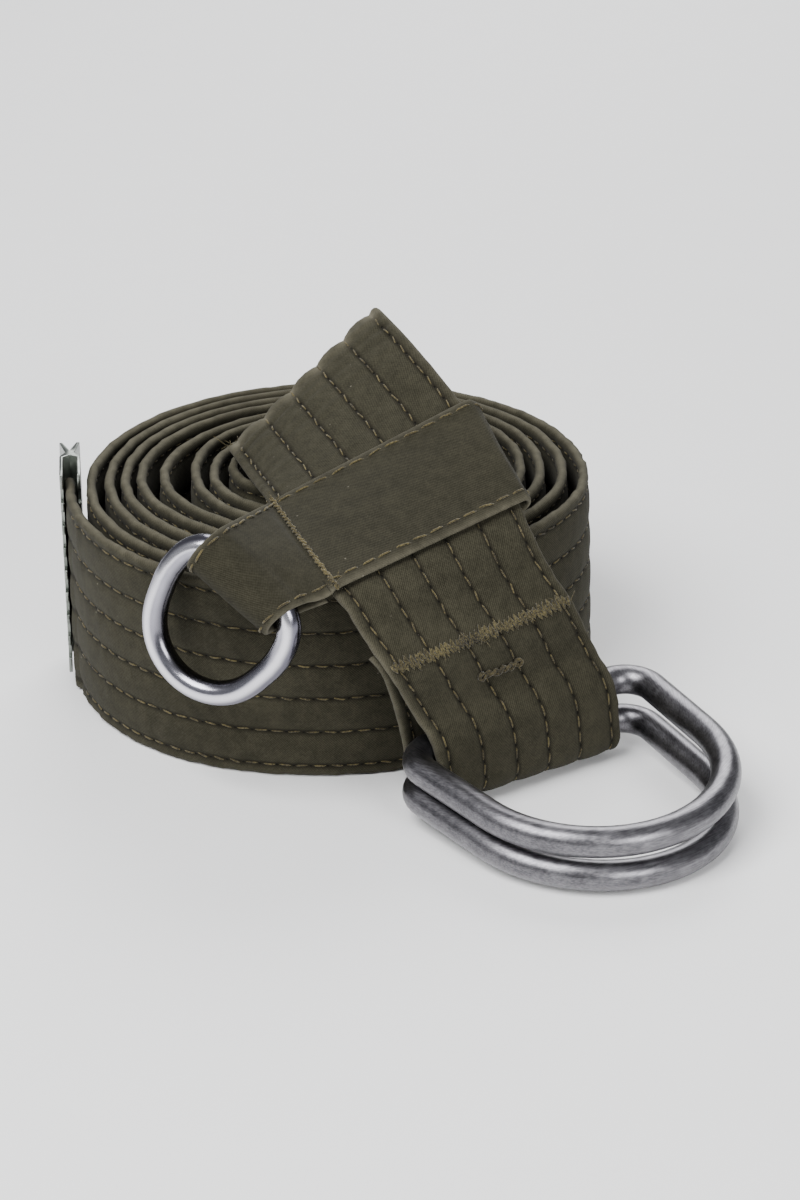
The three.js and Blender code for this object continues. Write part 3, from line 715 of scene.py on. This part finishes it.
def keeper_line(share):
    clear = HALF_CLOTH + KEEPER_GAP + KEEPER_THICKNESS / 2
    layers = (KEEPER_THICKNESS + PIECE_GAP) / 2
    reach = SMALL_WIRE / 2 + PIECE_GAP + KEEPER_LOOP_ROOM + KEEPER_THICKNESS / 2 + TAIL_CLEAR
    middle, half, across, face = keeper_frame(share)
    bend = 0.7 * clear
    shares = (-half / 2, 0, half / 2, half - 0.5)
    flat = [(1.5 - half, -clear), *((a, -clear) for a in shares), (half + bend, -bend),
            (half + clear, 0), (half + bend, bend), *((a, clear) for a in reversed(shares)),
            (0.5 - half, clear)]
    line = [middle + across * a + face * n for a, n in flat]
    bar = SMALL_BAR + SMALL_ALONG * (share - 0.5) * TAIL_WIDTH + SMALL_OUT * KEEPER_LOOP_SLACK
    loop = []
    for turn in LOOP_TURNS:
        a = math.radians(turn)
        far = reach * (1 + TAIL_REACH * max(0, -math.cos(a)))
        over = math.copysign(abs(math.sin(a)) ** 0.7, math.sin(a))
        loop.append(bar + INWARD * far * math.cos(a) + OVER * reach * over)
    end = middle + across * (-half - 1.2) + face * (-1.4 * layers)
    level = [line[-1] + (loop[0] - line[-1]) * t for t in (0.25, 0.5, 0.75)]
    tail = [point + SMALL_ALONG * TAIL_SPREAD * share**3 * spread
            for point, spread in zip(level + loop, SPREAD_SHARES)]
    level, loop = tail[:3], tail[3:] + loop[len(tail) - 3:]
    return np.array(line + level + loop + [(loop[-1] + end) / 2, end])


# %% The keeper's mesh
HALF_ACROSS = [0, 0.006, 0.02, 0.05, 0.078, 0.1, 0.25, 0.4]
HALF_THICK = [0, 0.34, 0.5, 0.52, 0.5, 0.4, 0.42, 0.42]
KEEPER_ACROSS = np.array(HALF_ACROSS + [0.5] + [1 - share for share in reversed(HALF_ACROSS)])
KEEPER_HALF = np.array(HALF_THICK + HALF_THICK[-1:] + HALF_THICK[::-1])
FINER = 5
lines = np.array([keeper_line(share) for share in KEEPER_ACROSS])
keys = np.arange(lines.shape[1])
fine = np.linspace(0, keys[-1], keys[-1] * FINER + 1)
grid = [[smooth_at(keys, line, place) for place in fine] for line in lines]
KEEPER = np.array(grid).transpose(1, 0, 2)
KEEPER_FACE = units(np.cross(np.gradient(KEEPER, axis=0), np.gradient(KEEPER, axis=1)))
KEEPER_PATH = travelled_along(KEEPER[:, len(KEEPER_ACROSS) // 2])
keeper_width = float(np.mean(np.linalg.norm(np.diff(KEEPER, axis=1), axis=-1).sum(1)))
wave = 0.06 * ripple(KEEPER_PATH[:, None], KEEPER_ACROSS[None, :], 13.0, 5)[..., None]
swell = KEEPER_FACE * KEEPER_HALF[None, :, None]
hem = np.minimum(KEEPER_ACROSS, 1 - KEEPER_ACROSS)
# The keeper's hems get the same paler tone, partly wear and partly a painted highlight
keeper_wear_and_highlight = np.tile(0.6 * np.exp(-hem / 0.02), (len(fine), 1))
keeper = band_piece("keeper", KEEPER + swell + wave * swell, KEEPER - swell + wave * swell,
                    KEEPER_PATH, KEEPER_ACROSS * keeper_width, keeper_wear_and_highlight)
print("keeper: width mm", round(keeper_width, 1), "length mm", round(float(KEEPER_PATH[-1]), 1))

# %% The keeper's stitches and the loose fibres
KEEPER_HEMS, KEEPER_STITCH, KEEPER_HOLE, KEEPER_THREAD = (0.065, 0.935), 3.6, 0.3, 0.2
CROSS_KEY, CROSS_THREAD, CROSS_PITCH = 12.07, 0.23, 2.4
keeper_out = 1 if np.mean(np.sum(KEEPER_FACE[len(fine) // 3] * face, -1)) > 0 else -1


def keeper_skin(pick, half):
    """Points of the keeper's outer surface and their normals, as pick takes them from a grid."""
    normal = np.array(pick(KEEPER_FACE)) * keeper_out
    return np.array(pick(KEEPER)) + normal * half, normal


keeper_lots = []
for share in KEEPER_HEMS:
    half = float(np.interp(share, KEEPER_ACROSS, KEEPER_HALF))
    line, normal = keeper_skin(
        lambda grid: [points_along(share, KEEPER_ACROSS, row) for row in grid], half)
    places = travelled_along(line)
    keeper_lots.append(stitches_on(places, line, normal, 1, places[-1] - 2, KEEPER_STITCH,
                                   KEEPER_HOLE, KEEPER_THREAD))
row, normal = keeper_skin(
    lambda grid: [points_along(CROSS_KEY, fine, column) for column in grid.swapaxes(0, 1)],
    KEEPER_HALF[:, None])
keeper_lots += twisted(row, normal, CROSS_THREAD, CROSS_PITCH)
keeper_thread = joined("keeper_stitches", keeper_lots)
# The ends of the cross stitch are frayed too, and carry more hairs than a seam does
frayed_spots += [(row[2], normal[2]), (row[-3], normal[-3])] * 2
fibres = loose_fibres(52, frayed_spots, 2.2, 0.055)
print("keeper thread", len(keeper_thread.data.polygons), "fibres", len(fibres.data.polygons))

# %% [markdown]
# ## The rings
# A D ring is one round bar bent at two corners and round one arc, and closed behind the cloth. It
# is made the same way: a circle is pulled along the bar, spun round each corner and round the arc,
# and merged where it comes back to its start. Each point then keeps its place along and round the
# wire for the finishes.

# %% Bending a ring
WIRE_SIDES, CORNER_BENDS, LEG_PULLS, ARC_BENDS = 32, 10, 3, 40
LINE_POINTS = 1200
GRAIN_STRETCH = 0.06
BOW_HEIGHT, BOW_REACH, LEG_SIDE = 9, 4.2, 3


def pull(x, y):
    bpy.ops.mesh.extrude_region_move(TRANSFORM_OT_translate={"value": (x * MM, y * MM, 0)})


def bend(x, y, angle, count):
    # With no window a positive angle turns clockwise
    bpy.ops.mesh.spin(steps=count, angle=-angle, center=(x * MM, y * MM, 0), axis=(0, 0, 1))


def wire_places(flat, d, wire):
    """How far along the wire each point of a ring is, and where round the wire it sits."""
    outline = np.array(outline_points(d)) * MM
    outline = np.vstack([outline, outline[:1]])
    reached = travelled_along(outline)
    travelled = np.linspace(0, reached[-1], LINE_POINTS)
    line = points_along(travelled, reached, outline)
    nearest = np.linalg.norm(flat[:, None, :2] - line[None], axis=-1).argmin(1)
    heading = units(np.gradient(line, axis=0))
    outwards = np.stack([heading[:, 1], -heading[:, 0]], -1)
    outwards *= np.sign(np.sum(outwards * (line - line.mean(0)), -1, keepdims=True))
    outside = np.sum((flat[:, :2] - line[nearest]) * outwards[nearest], -1)
    around = np.stack([outside, flat[:, 2], 0 * outside], -1) / (wire / 2 * MM)
    return travelled[nearest], around


def bent_ring(name, d, wire, bow, centre, along, out):
    bpy.ops.object.select_all(action="DESELECT")
    bpy.ops.mesh.primitive_circle_add(vertices=WIRE_SIDES, radius=wire / 2 * MM,
                                      fill_type="NOTHING", location=(0, 0, 0),
                                      rotation=(0, math.pi / 2, 0))
    ring = bpy.context.object
    ring.name = name
    bpy.ops.object.transform_apply()
    bpy.ops.object.mode_set(mode="EDIT")
    bpy.ops.mesh.select_all(action="SELECT")
    cos, sin = math.cos(d["taper"]), math.sin(d["taper"])
    leg = np.array([d["bar"] + d["corner"] * cos, d["corner"] * (1 + sin)])
    shoulder = np.array([d["arc_radius"] * cos, d["arc_y"] + d["arc_radius"] * sin])
    rise_x, rise_y = (shoulder - leg) / LEG_PULLS
    pull(d["bar"], 0)
    bend(d["bar"], d["corner"], d["turn"], CORNER_BENDS)
    for _ in range(LEG_PULLS):
        pull(rise_x, rise_y)
    bend(0, d["arc_y"], math.pi - 2 * d["taper"], ARC_BENDS)
    for _ in range(LEG_PULLS):
        pull(rise_x, -rise_y)
    bend(-d["bar"], d["corner"], d["turn"], CORNER_BENDS)
    pull(d["bar"], 0)
    bpy.ops.mesh.select_all(action="SELECT")
    bpy.ops.mesh.remove_doubles(threshold=0.00001)
    bpy.ops.mesh.normals_make_consistent(inside=False)
    bpy.ops.object.mode_set(mode="OBJECT")
    flat = np.array([v.co[:] for v in ring.data.vertices])
    travelled, around = wire_places(flat, d, wire)
    on_leg = abs(flat[:, 0]) > LEG_SIDE * MM
    bowed = bow * MM * hump(flat[:, 1] / MM, BOW_HEIGHT, BOW_REACH)
    flat[:, 0] += np.sign(flat[:, 0]) * bowed * on_leg
    ring.data.vertices.foreach_set("co", flat.ravel())
    spread = np.linalg.norm(flat[:, :2], axis=1)
    grain = np.stack([travelled * GRAIN_STRETCH, spread, flat[:, 2]], -1)
    for rule, values in (("grain", grain), ("around", around)):
        layer = ring.data.attributes.new(rule, "FLOAT_VECTOR", "POINT")
        layer.data.foreach_set("vector", values.ravel())
    place = Matrix.Translation(Vector(placed(centre))) @ Matrix(
        [[*row, 0] for row in np.stack([along, out, np.cross(along, out)], 1)] + [[0, 0, 0, 1]])
    ring.data.transform(place)
    bpy.ops.object.shade_smooth()
    return ring


lower_ring = bent_ring("lower_ring", BIG, BIG_WIRE, 0, *ring_frame(0, 0))
upper_ring = bent_ring("upper_ring", BIG, BIG_WIRE, 0, *ring_frame(UPPER_LIFT, UPPER_ROLL))
small_ring = bent_ring("small_ring", SMALL, SMALL_WIRE, 0.9, SMALL_BAR, SMALL_ALONG, SMALL_OUT)
rings = ((lower_ring, "lower_d_ring"), (upper_ring, "upper_d_ring"), (small_ring, "small_d_ring"))
for ring, node in rings:
    corners = np.array([(ring.matrix_world @ Vector(c))[:] for c in ring.bound_box])
    low, high = (np.array(c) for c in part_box(node))
    size = np.ptp(corners, axis=0) / MM
    print(node, "mm", size.round(1), "solid", ((high - low) / MM).round(1))

# %% [markdown]
# ## Finishes
# Each finish is a few rules about where colour, shine and height change. They are written as sums,
# so one small class lets sockets be added and multiplied, and turns each sum into Math nodes.

# %% Sums on sockets
def operator(operation):
    return lambda number, other: number.finish.maths(operation, number, other)


class Number:
    def __init__(self, finish, socket):
        self.finish, self.socket = finish, socket

    __add__, __sub__ = operator("ADD"), operator("SUBTRACT")
    __mul__, __truediv__ = operator("MULTIPLY"), operator("DIVIDE")

    def __rsub__(self, other):
        return self.finish.maths("SUBTRACT", other, self)

    def does(self, operation, *others):
        return self.finish.maths(operation, self, *others)

    def within(self, low, high):
        """0 below low, 1 above high, and smooth between them."""
        return self.finish.node("MapRange", {"interpolation_type": "SMOOTHSTEP"},
                                {"Value": self, "From Min": low, "From Max": high})["Result"]


class Finish:
    def __init__(self, name, **constants):
        self.material = bpy.data.materials.new(name)
        self.material.use_nodes = True
        self.tree = self.material.node_tree
        self.shader = self.tree.nodes["Principled BSDF"]
        for key, value in constants.items():
            self.shader.inputs[key.replace("_", " ")].default_value = value

    def put(self, socket, value):
        if isinstance(value, Number):
            self.tree.links.new(value.socket, socket)
        else:
            socket.default_value = value

    def node(self, kind, settings=(), values=()):
        made = self.tree.nodes.new("ShaderNode" + kind)
        for key, value in dict(settings).items():
            setattr(made, key, value)
        for key, value in dict(values).items():
            self.put(made.inputs[key], value)
        return {out.name: Number(self, out) for out in made.outputs if out.enabled}

    def maths(self, operation, *values):
        inputs = dict(enumerate(values))
        return self.node("Math", {"operation": operation}, inputs)["Value"]

    def noise(self, where, scale, detail=3.0):
        values = {"Vector": where, "Scale": scale, "Detail": detail, "Roughness": 0.55}
        return self.node("TexNoise", {}, values)["Fac"]

    def cells(self, where, scale):
        """The distance to the nearest of many scattered points."""
        return self.node("TexVoronoi", {}, {"Vector": where, "Scale": scale})["Distance"]

    def stored(self, name, output="Vector"):
        """What a mesh keeps at its points under a name."""
        return self.node("Attribute", {"attribute_name": name})[output]

    def split(self, vector):
        return self.node("SeparateXYZ", {}, {0: vector})

    def mix(self, share, first, second):
        made = self.tree.nodes.new("ShaderNodeMix")
        made.data_type = "RGBA"
        self.put(made.inputs[0], share)
        for socket, colour in ((made.inputs[6], first), (made.inputs[7], second)):
            self.put(socket, colour if isinstance(colour, Number) else (*colour, 1))
        return Number(self, made.outputs[2])

    def object_place(self):
        return self.node("TexCoord")["Object"]

    def surface(self, colour, roughness, height=None, strength=0, distance=0):
        self.put(self.shader.inputs["Base Color"], colour)
        self.put(self.shader.inputs["Roughness"], roughness)
        if height is not None:
            inputs = {"Strength": strength, "Distance": distance, "Height": height}
            bump = self.node("Bump", {}, inputs)
            self.put(self.shader.inputs["Normal"], bump["Normal"])
        return self.material


# %% [markdown]
# The cloth is a washed cotton twill. Its diagonal ribs are about a third of a millimetre apart, so
# they are drawn on the cloth's own length and width, which follow every bend. Noise breaks the ribs
# up, a painted shade darkens the seams and the needle's holes, and the raised edges and the top of
# the fold are painted paler: partly wear, partly a painted highlight.

# %% Cloth
RIB_PITCH, YARN_PITCH = 0.47, 0.62
SEAM_SHADE, HOLE_SHADE = (0.009, 0.008, 0.005), (0.003, 0.0028, 0.002)
RUBBED_AND_HIGHLIGHT_TONE, LINT_TONE = (0.15, 0.138, 0.1), (0.26, 0.24, 0.19)
SEAM_PITCH = float(CHANNEL) * BELT_WIDTH


def cloth_finish(name, quilted, dark, pale):
    cloth = Finish(name, Sheen_Weight=0.03, Sheen_Roughness=0.5, Specular_IOR_Level=0.07)
    parts = cloth.split(cloth.node("UVMap", {"uv_map": "UVMap"})["UV"])
    u, v = parts["X"] / MM, parts["Y"] / MM
    where = cloth.object_place()
    fibre, cloud, patch = cloth.noise(where, 2600), cloth.noise(where, 420), cloth.noise(where, 38)
    rib = ((u + v) * (2 * math.pi / RIB_PITCH) + fibre * 2.5).does("SINE") * 0.5 + 0.5
    cross_yarn = ((u - v) * (2 * math.pi / YARN_PITCH)).does("SINE") * 0.5 + 0.5
    light = rib * 0.22 + fibre * 0.42 + cloud * 0.34 + cross_yarn * 0.06 + patch * 0.24 - 0.1
    colour = cloth.mix(light.within(0.2, 0.92), dark, pale)
    pulls = {"X": u * 0.15 + v * 0.06, "Y": v * 0.13 - u * 0.02}
    pulled = cloth.noise(cloth.node("CombineXYZ", {}, pulls)["Vector"], 1.6, 3)
    height = rib * 0.4 + fibre * 0.5 + cloud * 0.6 + pulled * 2.2
    if quilted:
        from_middle = v.does("PINGPONG", BELT_WIDTH / 2) * -1 + BELT_WIDTH / 2
        step = (from_middle - SEAM_PITCH / 2) / SEAM_PITCH
        which = step.does("ROUND")
        from_seam = (step - which).does("ABSOLUTE") * SEAM_PITCH
        between = (u / STITCH - which * STAGGER).does("FRACT")
        hole = (between - 0.5).does("ABSOLUTE") * -STITCH + STITCH / 2
        # Painted shade: darker along the seams' valleys and at the needle's holes
        valley = 1 - from_seam.within(0.15, 0.95)
        pit = (1 - from_seam.within(0.08, 0.3)) * (1 - hole.within(0.1, 0.36))
        colour = cloth.mix(valley * 0.72, colour, SEAM_SHADE)
        colour = cloth.mix(pit * 0.8, colour, HOLE_SHADE)
        height = height - pit * 2.5 - valley * 0.8
    # Paler at the hems and the fold's top: partly rubbed wear, partly a painted highlight
    rubbed_and_highlight = cloth.stored("wear_and_highlight", "Fac") * (cloud * 1.3 + 0.2) * 0.9
    colour = cloth.mix(rubbed_and_highlight, colour, RUBBED_AND_HIGHLIGHT_TONE)
    lint = (1 - cloth.cells(where, 260).within(0.028, 0.05)) * patch.within(0.5, 0.62) * 0.6
    colour = cloth.mix(lint, colour, LINT_TONE)
    return cloth.surface(colour, cloud * 0.1 + 0.84, height, 0.55, 0.00012)


QUILTED_TONES = (0.0115, 0.0107, 0.0065), (0.0515, 0.0478, 0.0318)
PLAIN_TONES = (0.0099, 0.0092, 0.0056), (0.041, 0.0379, 0.0252)
quilted_cloth = cloth_finish("quilted_twill", True, *QUILTED_TONES)
plain_cloth = cloth_finish("plain_twill", False, *PLAIN_TONES)

# %% Thread
def thread_finish(name, dark, pale):
    thread = Finish(name, Sheen_Weight=0.15, Specular_IOR_Level=0.25)
    where = thread.object_place()
    strand, drift = thread.noise(where, 3400, 2), thread.noise(where, 180)
    colour = thread.mix((strand * 0.8 + drift * 0.5).within(0.42, 0.9), dark, pale)
    return thread.surface(colour, drift * 0.15 + 0.7, strand, 0.9, 0.00012)


khaki_thread = thread_finish("khaki_thread", (0.011, 0.0085, 0.003), (0.122, 0.097, 0.036))
tack_thread = thread_finish("tack_thread", (0.005, 0.004, 0.0014), (0.112, 0.092, 0.036))
brown_thread = thread_finish("brown_thread", (0.0018, 0.0014, 0.0005), (0.078, 0.062, 0.024))

# %% [markdown]
# The big rings are steel with a dark antique finish: the streaks of brushing run along the wire and
# the dark layer is rubbed through in patches. The small ring is polished nickel, which shows mostly
# the room. This room is plain, so the bright crown and the dark sides of the wire are painted on by
# the place round the wire. The clamp is bright zinc plate.

# %% Metals
def steel_finish():
    steel = Finish("antique_steel", Metallic=1.0)
    where, around = steel.object_place(), steel.split(steel.stored("around"))
    streak, mottle = steel.noise(steel.stored("grain"), 4600, 4), steel.noise(where, 210, 5)
    # A painted highlight along the crown of the wire, where the steel is also rubbed bright
    rubbed_and_highlight = (around["X"] * 0.75 + around["Y"] * 0.66).within(0.72, 1.0)
    tone = streak * 0.6 + mottle * 0.35 + steel.noise(where, 900, 3) * 0.25 + rubbed_and_highlight * 0.1
    colour = steel.mix(tone.within(0.34, 0.98), (0.078, 0.076, 0.084), (0.30, 0.293, 0.31))
    height = streak * 0.6 + mottle * 0.3
    return steel.surface(colour, mottle * 0.14 + streak * 0.1 + 0.24, height, 0.16, 0.00005)


def nickel_finish():
    nickel = Finish("polished_nickel", Metallic=1.0)
    haze = nickel.noise(nickel.object_place(), 120)
    scratch = nickel.noise(nickel.stored("grain"), 4200, 2)
    around = nickel.split(nickel.stored("around"))
    colour = nickel.mix(haze.within(0.3, 0.7), (0.30, 0.295, 0.34), (0.40, 0.395, 0.445))
    crown = (around["Y"].does("ABSOLUTE") * 0.94 + around["X"] * 0.34).within(0.86, 1.0)
    colour = nickel.mix(crown, colour, (0.78, 0.77, 0.82))
    colour = nickel.mix(around["X"].within(0.3, 0.8) * 0.85, colour, (0.125, 0.121, 0.155))
    inner_side = (around["X"] * -1).within(0.3, 0.95) * 0.85
    colour = nickel.mix(inner_side, colour, (0.045, 0.043, 0.048))
    return nickel.surface(colour, haze * 0.07 + scratch * 0.1 + 0.13, scratch, 0.06, 0.00003)


def zinc_finish():
    zinc = Finish("bright_zinc", Metallic=1.0)
    where = zinc.object_place()
    cloud, grain = zinc.noise(where, 260), zinc.noise(where, 1800)
    spangle = (zinc.cells(where, 420) * 0.5 + cloud * 0.6).within(0.3, 0.8)
    colour = zinc.mix(spangle, (0.15, 0.165, 0.148), (0.33, 0.35, 0.32))
    return zinc.surface(colour, cloud * 0.2 + grain * 0.1 + 0.17, grain * 0.5 + cloud, 0.2, 0.00008)


steel, nickel, zinc = steel_finish(), nickel_finish(), zinc_finish()

# %% [markdown]
# The clamp's solid already has its folded profile and its teeth. A solid comes as loose triangles,
# so the corners of a copy are merged, and a small bevel takes the knife edge off the sheet.
# Bevelling the loose triangles would give each of them its own edge.

# %% The clamp
MERGE_WITHIN, EDGE_BEVEL, BEVEL_STEPS = 0.000005, 0.00012, 2
bpy.ops.object.select_all(action="DESELECT")
clamp = in_scene("pressed_clamp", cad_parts["end_clamp"].data.copy())
clamp.select_set(True)
bpy.context.view_layer.objects.active = clamp
bpy.ops.object.mode_set(mode="EDIT")
bpy.ops.mesh.select_all(action="SELECT")
bpy.ops.mesh.remove_doubles(threshold=MERGE_WITHIN)
bpy.ops.object.mode_set(mode="OBJECT")
merged_corners = len(clamp.data.vertices)
soften = clamp.modifiers.new("pressed_edge", "BEVEL")
soften.width, soften.segments, soften.limit_method = EDGE_BEVEL, BEVEL_STEPS, "ANGLE"
bpy.ops.object.modifier_apply(modifier=soften.name)
bpy.ops.object.shade_smooth_by_angle(angle=math.radians(35))
print("clamp: merged corners", merged_corners, "bevelled faces", len(clamp.data.polygons))

# %% Putting the pieces on the frame
dressing = [
    (belt, quilted_cloth, "cloth", "belt_strap"),
    (keeper, plain_cloth, "keeper_cloth", "keeper_band"),
    (lower_ring, steel, "dark_steel", "lower_d_ring"),
    (upper_ring, steel, "dark_steel", "upper_d_ring"),
    (small_ring, nickel, "bright_nickel", "small_d_ring"),
    (clamp, zinc, "zinc", "end_clamp"),
    (seam_thread, khaki_thread, "cloth", None),
    (inner_thread, khaki_thread, "cloth", None),
    (bar_tack, tack_thread, "cloth", None),
    (small_tack, brown_thread, "cloth", None),
    (fibres, khaki_thread, "cloth", None),
    (keeper_thread, khaki_thread, "keeper_cloth", None),
]
for piece, finish, slot, node in dressing:
    piece.data.materials.clear()
    piece.data.materials.append(finish)
    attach(piece, "root")
    if node:
        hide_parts(node)

# %% [markdown]
# ## Floor, light and camera
# A pale floor and large soft lights keep shadows gentle. The camera stands where the photograph was
# taken from: its distance and lens together give both the size and the perspective.

# %% Floor and light
FLOOR_DROP = 0.0002
AIM = Vector((0, 0, 0.02))
bpy.ops.mesh.primitive_plane_add(size=6, location=(0, 0, -FLOOR_DROP))
floor = bpy.context.object
floor.name = "floor"
paper = Finish("pale_floor", Specular_IOR_Level=0.2)
speck = paper.noise(paper.object_place(), 60)
paper_tone = paper.mix(speck, (0.87, 0.87, 0.87), (0.89, 0.89, 0.89))
floor.data.materials.append(paper.surface(paper_tone, 0.8))

world = bpy.data.worlds.new("studio")
bpy.context.scene.world = world
world.use_nodes = True
room = world.node_tree.nodes["Background"]
room.inputs["Color"].default_value = (0.93, 0.95, 1, 1)
room.inputs["Strength"].default_value = 0.29


def soft_light(name, place, size, power):
    lamp = bpy.data.lights.new(name, "AREA")
    lamp.shape, lamp.size, lamp.energy = "SQUARE", size, power
    light = in_scene(name, lamp)
    light.location = place
    light.rotation_euler = (AIM - Vector(place)).to_track_quat("-Z", "Y").to_euler()


soft_light("top_left", (-0.4, -0.42, 0.8), 0.6, 16)
soft_light("front_right", (0.5, -0.75, 0.42), 0.4, 6.3)
soft_light("behind", (0.1, 0.7, 0.6), 0.6, 7)

# %% Camera
lens = bpy.data.cameras.new("photograph")
lens.lens, lens.sensor_width, lens.clip_start = 90, 36, 0.01
camera = in_scene("photograph", lens)
camera.location = placed((12.35, -508.95, 256.53))
camera.rotation_euler = (math.radians(64.5), 0, 0)
bpy.context.scene.camera = camera
